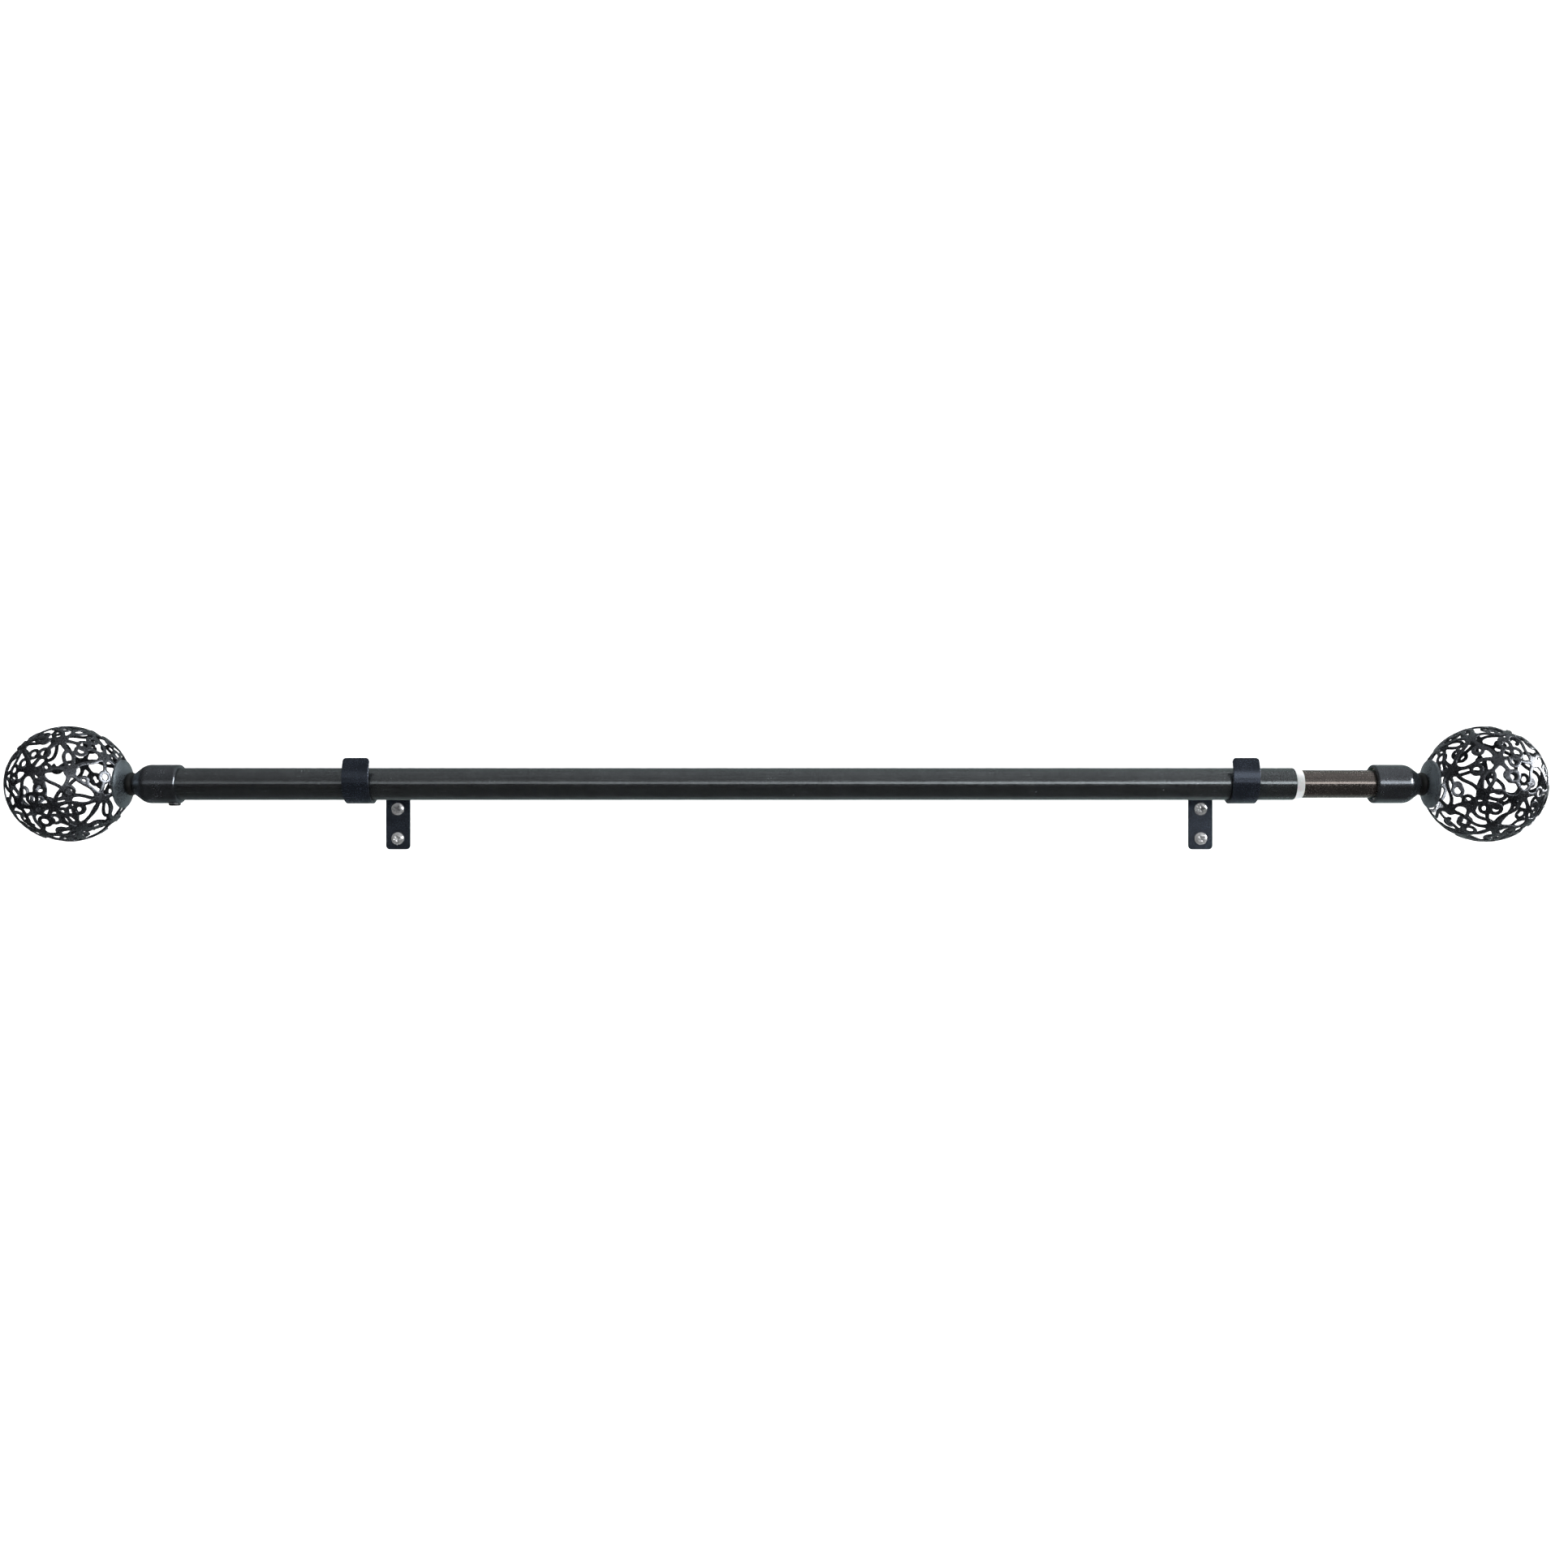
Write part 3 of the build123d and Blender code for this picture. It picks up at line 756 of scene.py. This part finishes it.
def worn_and_glinting_edges_group():
    number = "NodeSocketFloat"
    group, given, result = new_group(
        "worn_and_glinting_edges",
        (("Place", "NodeSocketVector", None), ("Reach", number, 0.0005), ("Amount", number, 0.5),
         ("Patch Size", number, 0.004)),
        (("Mask", number),))
    rounded = node(group, "ShaderNodeBevel", {"Radius": given["Reach"]}, samples=6)
    true_normal = group.nodes.new("ShaderNodeNewGeometry").outputs["Normal"]
    likeness = node(group, "ShaderNodeVectorMath", {0: rounded.outputs[0], 1: true_normal},
                    operation="DOT_PRODUCT")
    edge = node(group, "ShaderNodeMapRange", {"Value": likeness.outputs["Value"],
                                              "From Min": WEAR_AND_GLINT_BEGINS, "From Max": WEAR_AND_GLINT_COMPLETE})
    fineness = maths(group, "DIVIDE", 1.0, given["Patch Size"])
    noise = node(group, "ShaderNodeTexNoise",
                 {"Vector": given["Place"], "Scale": fineness, "Detail": 4.0})
    patches = node(group, "ShaderNodeMapRange", {"Value": noise.outputs[0],
                                                 "From Min": PATCH_LOW, "From Max": PATCH_HIGH})
    # The mask paints a pale edge: partly worn coat, partly a painted glint.
    worn_and_glinting = maths(group, "MULTIPLY", edge.outputs[0], patches.outputs[0])
    scaled = node(group, "ShaderNodeMath", {0: worn_and_glinting, 1: given["Amount"]}, operation="MULTIPLY",
                  use_clamp=True)
    group.links.new(scaled.outputs[0], result["Mask"])
    return group


worn_and_glinting_edges = worn_and_glinting_edges_group()
print("group", worn_and_glinting_edges.name, "has", len(worn_and_glinting_edges.nodes), "nodes")

# %% [markdown]
# All dark coats are one recipe: speckled colour, pale bare steel on the edges that stands for both
# wear and a painted glint, and the grain again as a shallow bump. What differs is a handful of
# values.

# %% Coated metal
# Pale edge colour: bare steel where the coat is worn, and a painted glint that the edges show whatever
# the lamps.
BARE_STEEL_AND_GLINT = (0.42, 0.44, 0.46, 1)
WEAR_AND_GLINT_REACH = 0.5 * MM
GRAIN_DEPTH = 0.05 * MM


def speckled_material(name, metal, coat, bump, bump_depth, wear_and_glint=None):
    """Colour, roughness and bump from the speckled coat, with pale edges for wear and painted glint if
    an amount for them is given.
    """
    material = bpy.data.materials.new(name)
    material.use_nodes = True
    tree = material.node_tree
    shader = tree.nodes["Principled BSDF"]
    place = tree.nodes.new("ShaderNodeTexCoord").outputs["Object"]
    made = use_group(tree, speckled_coat, {"Place": place, **coat})
    colour = made["Colour"]
    if wear_and_glint is not None:
        worn_and_glinting = use_group(tree, worn_and_glinting_edges, {"Place": place, "Reach": WEAR_AND_GLINT_REACH, "Amount": wear_and_glint})
        # The edge colour is partly wear and partly a painted highlight.
        colour = blended(tree, "MIX", worn_and_glinting["Mask"], colour, BARE_STEEL_AND_GLINT)
    tree.links.new(colour, shader.inputs["Base Color"])
    tree.links.new(made["Roughness"], shader.inputs["Roughness"])
    raised = node(tree, "ShaderNodeBump",
                  {"Strength": bump, "Distance": bump_depth, "Height": made["Height"]})
    tree.links.new(raised.outputs[0], shader.inputs["Normal"])
    shader.inputs["Metallic"].default_value = metal
    return material


def coated_metal(name, colour, metal, roughness, grain_size, grain, cloud, streak, wear_and_glint, bump):
    coat = {"Colour": (*colour, 1), "Grain Size": grain_size, "Grain": grain, "Cloud": cloud,
            "Streak": streak, "Roughness": roughness}
    return speckled_material(name, metal, coat, bump, GRAIN_DEPTH, wear_and_glint)


COATS = {
    # colour, metal, roughness, grain size, grain, cloud, streak, wear and painted edge glint, bump
    "tube_gunmetal": ((0.145, 0.160, 0.168), 0.92, 0.19, 0.7 * MM, 0.30, 0.06, 0.10, 0.15, 0.06),
    "inner_tube_gunmetal": ((0.185, 0.165, 0.155), 0.92, 0.21, 0.7 * MM, 0.28, 0.06, 0.14, 0.15,
                            0.06),
    "ferrule_gunmetal": ((0.135, 0.148, 0.165), 0.92, 0.20, 0.6 * MM, 0.30, 0.10, 0.0, 0.6, 0.08),
    "bracket_black": ((0.034, 0.043, 0.060), 0.7, 0.22, 0.5 * MM, 0.30, 0.1, 0.0, 0.5, 0.14),
    "lace_charcoal": ((0.070, 0.075, 0.085), 0.85, 0.27, 0.9 * MM, 0.35, 0.15, 0.0, 0.9, 0.5),
    "cup_slate": ((0.088, 0.106, 0.120), 0.6, 0.33, 0.6 * MM, 0.30, 0.2, 0.0, 0.5, 0.15),
    "bead_black": ((0.004, 0.005, 0.005), 0.0, 0.55, 0.7 * MM, 0.3, 0.1, 0.0, 0.0, 0.4),
    "dark_steel": ((0.10, 0.105, 0.11), 0.9, 0.28, 0.6 * MM, 0.3, 0.1, 0.0, 0.8, 0.4),
}
finishes = {name: coated_metal(name, *values) for name, values in COATS.items()}
print("coated finishes:", sorted(finishes))

# %% [markdown]
# Zinc plate is bare metal: bright, a little cloudy from handling, with fine marks from the
# lathe. The collar and the bush are natural plastic, which is milky because light goes a short
# way into it.

# %% Zinc and plastic
ZINC_PLATE = {"Colour": (0.80, 0.81, 0.82, 1), "Grain Size": 0.5 * MM, "Grain": 0.08,
              "Cloud": 0.12, "Streak": 0.0, "Roughness": 0.24}
MILKY_PLASTIC = {"Colour": (0.66, 0.68, 0.68, 1), "Grain Size": 1.6 * MM, "Grain": 0.06,
                 "Cloud": 0.05, "Streak": 0.0, "Roughness": 0.42}
LATHE_MARK_DEPTH = 0.03 * MM
finishes["bright_zinc"] = speckled_material(
    "bright_zinc", metal=0.72, coat=ZINC_PLATE, bump=0.25, bump_depth=LATHE_MARK_DEPTH)
finishes["pale_plastic"] = speckled_material(
    "pale_plastic", metal=0.0, coat=MILKY_PLASTIC, bump=0.2, bump_depth=GRAIN_DEPTH)
plastic = finishes["pale_plastic"].node_tree.nodes["Principled BSDF"].inputs
plastic["Subsurface Weight"].default_value = 0.35
plastic["Subsurface Scale"].default_value = 1.0 * MM
for subpart in frame["record"]["subparts"]:
    solid = frame["nodes"][subpart["node"]]
    solid.data.materials.clear()
    solid.data.materials.append(finishes[subpart["material_slot"]])

# %% [markdown]
# ## Screws and studs
#
# A screw or a stud is a profile spun round its own axis.

# %% Turned body
def turned_body(profile, segments=48):
    """Spin (radius, distance along +Z) points, both ends on the axis, into a closed body."""
    bm = bmesh.new()
    points = [bm.verts.new((radius, 0, along)) for radius, along in profile]
    edges = [bm.edges.new(pair) for pair in zip(points, points[1:])]
    bmesh.ops.spin(bm, geom=points + edges, cent=(0, 0, 0), axis=(0, 0, 1), angle=math.tau,
                   steps=segments, use_merge=True)
    bmesh.ops.remove_doubles(bm, verts=bm.verts[:], dist=0.001 * MM)
    bmesh.ops.recalc_face_normals(bm, faces=bm.faces[:])
    return bm


def arc_points(centre_radius, centre_along, radius, first, last, count):
    """Points of a quarter round in a profile, angles from the radial direction towards +Z."""
    angles = [math.radians(first + (last - first) * i / (count - 1)) for i in range(count)]
    return [(centre_radius + radius * math.cos(a), centre_along + radius * math.sin(a)) for a in angles]


# %% [markdown]
# A thread is a small pointed section that is spun with a step forward at each step of the spin,
# which winds a helix in one go. Its foot starts inside the core, and its crest sinks into the
# core at both ends.

# %% Thread
THREAD_STEPS_PER_TURN = 24
THREAD_ROOT = 0.9
LEAST_RIDGE = 0.15
# Half the width of the ridge at its foot and at its crest, in pitches.
HALF_FOOT, HALF_CREST = 0.42, 0.05


def add_thread(bm, core_radius, crest_radius, pitch, start, end, run_out):
    """Wind a closed ridge from start to end along +Z; it fades into the core at both ends."""
    turns = (end - start) / pitch
    steps = int(turns * THREAD_STEPS_PER_TURN)
    root = THREAD_ROOT * core_radius
    section = ((root, -HALF_FOOT), (crest_radius, -HALF_CREST), (crest_radius, HALF_CREST),
               (root, HALF_FOOT))
    corners = [bm.verts.new((radius, 0, start + offset * pitch)) for radius, offset in section]
    first_face = bm.faces.new(corners)
    before = set(bm.verts) - set(corners)
    bmesh.ops.spin(bm, geom=[first_face], cent=(0, 0, 0), axis=(0, 0, 1), angle=math.tau * turns,
                   steps=steps, dvec=(0, 0, (end - start) / steps), use_merge=False)
    ridge = [vert for vert in bm.verts if vert not in before]
    for vert in ridge:
        reach = math.hypot(vert.co.x, vert.co.y)
        fade = min(1.0, (vert.co.z - start) / run_out[0] + LEAST_RIDGE,
                   (end - vert.co.z) / run_out[1] + LEAST_RIDGE)
        wanted = root + (reach - root) * max(0.0, fade)
        vert.co.x *= wanted / reach
        vert.co.y *= wanted / reach
    skin = {face for vert in ridge for face in vert.link_faces}
    bmesh.ops.recalc_face_normals(bm, faces=list(skin))


# %% [markdown]
# The cross in the head is cut with a Boolean, because its tapered walls meet the domed crown in
# a line that nothing else would find.

# %% Cross recess
RECESS_TAPER = 0.45
RECESS_SUNK = 0.4


def cut_cross(bm, top, reach, width, depth):
    """Cut two tapered slots, narrower at the bottom, into a head whose crown is at z = top."""
    cutter = bmesh.new()
    for across in (0, 90):
        slot = bmesh.ops.create_cube(cutter, size=1.0)["verts"]
        for vert in slot:
            taper = 1.0 if vert.co.z > 0 else RECESS_TAPER
            height = top + (vert.co.z - RECESS_SUNK) * 2 * depth
            vert.co = Vector((vert.co.x * reach * taper, vert.co.y * width * taper, height))
        bmesh.ops.rotate(cutter, verts=slot, cent=(0, 0, 0),
                         matrix=Matrix.Rotation(math.radians(across), 3, "Z"))
    head = linked_object("head", smooth_mesh("head", bm))
    cross = linked_object("cross", smooth_mesh("cross", cutter))
    boolean = head.modifiers.new("cross", "BOOLEAN")
    boolean.operation = "DIFFERENCE"
    boolean.object = cross
    boolean.solver = "EXACT"
    boolean.use_self = True
    result = evaluated_bmesh(head)
    for holder in (head, cross):
        bpy.data.meshes.remove(holder.data)
    return result


# %% [markdown]
# The wall screws are pan-head wood screws. Their heads lie on the plate, and the rest is inside
# the wall when the rod is hung, but a part on a shelf shows it all.

# %% Wall screws
HEAD_RADIUS, HEAD_HEIGHT, HEAD_EDGE = 4.8 * MM, 3.0 * MM, 0.25 * MM
CROWN_RADIUS, CROWN_ARC_DEGREES, CROWN_POINTS = 2.6 * MM, (8, 84), 10
RECESS_REACH, RECESS_WIDTH, RECESS_DEPTH = 5.6 * MM, 1.25 * MM, 1.9 * MM
NECK_RADIUS, CREST_RADIUS = 1.6 * MM, 2.1 * MM
POINT_LENGTH, TIP_RADIUS, TIP_LENGTH = 4.5 * MM, 0.25 * MM, 0.2 * MM
SCREW_PITCH, THREAD_FROM_TIP, THREAD_BELOW_HEAD = 1.8 * MM, 1.0 * MM, 4.0 * MM
SCREW_RUN_OUT = (6.0 * MM, 2.0 * MM)
SCREW_TURNS_IN_DEGREES = {"left": (18, 62), "right": (33, 10)}


def wall_screw_body(seat, length, turn):
    """One screw with its head towards -Y, standing with the underside of its head at seat."""
    crown = arc_points(HEAD_RADIUS - CROWN_RADIUS, HEAD_HEIGHT - CROWN_RADIUS, CROWN_RADIUS,
                       *CROWN_ARC_DEGREES, CROWN_POINTS)
    profile = [(0, -length), (TIP_RADIUS, TIP_LENGTH - length),
               (NECK_RADIUS, POINT_LENGTH - length), (NECK_RADIUS, 0),
               (HEAD_RADIUS - HEAD_EDGE, 0), (HEAD_RADIUS, HEAD_EDGE), *crown, (0, HEAD_HEIGHT)]
    bm = cut_cross(turned_body(profile), HEAD_HEIGHT, RECESS_REACH, RECESS_WIDTH, RECESS_DEPTH)
    add_thread(bm, NECK_RADIUS, CREST_RADIUS, SCREW_PITCH, THREAD_FROM_TIP - length,
               -THREAD_BELOW_HEAD, SCREW_RUN_OUT)
    turn_about(bm, "Z", turn)
    turn_about(bm, "X", math.radians(90))
    bmesh.ops.translate(bm, verts=bm.verts[:], vec=seat)
    return bm


def join(parts):
    """Several bmeshes as one."""
    joined = bmesh.new()
    for bm in parts:
        mesh = smooth_mesh("part", bm)
        joined.from_mesh(mesh)
        bpy.data.meshes.remove(mesh)
    return joined


for side, turns in SCREW_TURNS_IN_DEGREES.items():
    low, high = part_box(side + "_bracket_screws")
    middle_x = (low.x + high.x) / 2
    seat_y = low.y + HEAD_HEIGHT
    heights = (low.z + HEAD_RADIUS, high.z - HEAD_RADIUS)
    screws = [wall_screw_body(Vector((middle_x, seat_y, z)), high.y - seat_y, math.radians(turn))
              for z, turn in zip(heights, turns)]
    make_piece(side + "_wall_screws", join(screws), side + "_bracket", "bright_zinc",
               side + "_bracket_screws")

# %% [markdown]
# Each ball is held by a nut on a threaded stud, and both can be seen through the lace.

# %% Studs
STUD_CREST, STUD_CORE, STUD_PITCH = 3.0 * MM, 2.5 * MM, 1.0 * MM
STUD_CHAMFER, STUD_PLAIN_END, STUD_RUN_OUT = 0.5 * MM, 0.6 * MM, (0.8 * MM, 0.8 * MM)
STUD_SEGMENTS = 32

for side in ("left", "right"):
    low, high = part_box(side + "_finial_stud")
    length = high.x - low.x
    profile = [(0, 0), (STUD_CORE - STUD_CHAMFER, 0), (STUD_CORE, STUD_CHAMFER),
               (STUD_CORE, length - STUD_CHAMFER), (STUD_CORE - STUD_CHAMFER, length), (0, length)]
    stud = turned_body(profile, STUD_SEGMENTS)
    add_thread(stud, STUD_CORE, STUD_CREST, STUD_PITCH, STUD_PLAIN_END, length - STUD_PLAIN_END,
               STUD_RUN_OUT)
    turn_about(stud, "Y", math.radians(90))
    bmesh.ops.translate(stud, verts=stud.verts[:], vec=(low.x, rod_y, rod_z))
    make_piece(side + "_threaded_stud", stud, side + "_finial", "bright_zinc",
               side + "_finial_stud")

# %% [markdown]
# ## The two balls
#
# Both balls come from the one net, cut and placed four times. The right one is turned about
# the rod, because a ball screwed on its stud stops wherever the thread ends.

# %% Place the four bowls
RIGHT_BALL_TURN = math.radians(-47)
net = melted_net(seed=11)
print("one net melted:", len(net.verts), "points")
for side, mirrored, turn in (("left", False, 0.0), ("right", True, RIGHT_BALL_TURN)):
    for half, towards_tubes in (("inner", True), ("outer", False)):
        casting = bowl(net, towards_tubes, mirrored, turn, ball_centre(side))
        make_piece(f"{side}_lace_{half}_bowl", casting, side + "_finial", "lace_charcoal",
                   f"{side}_ball_{half}_half")
net.free()
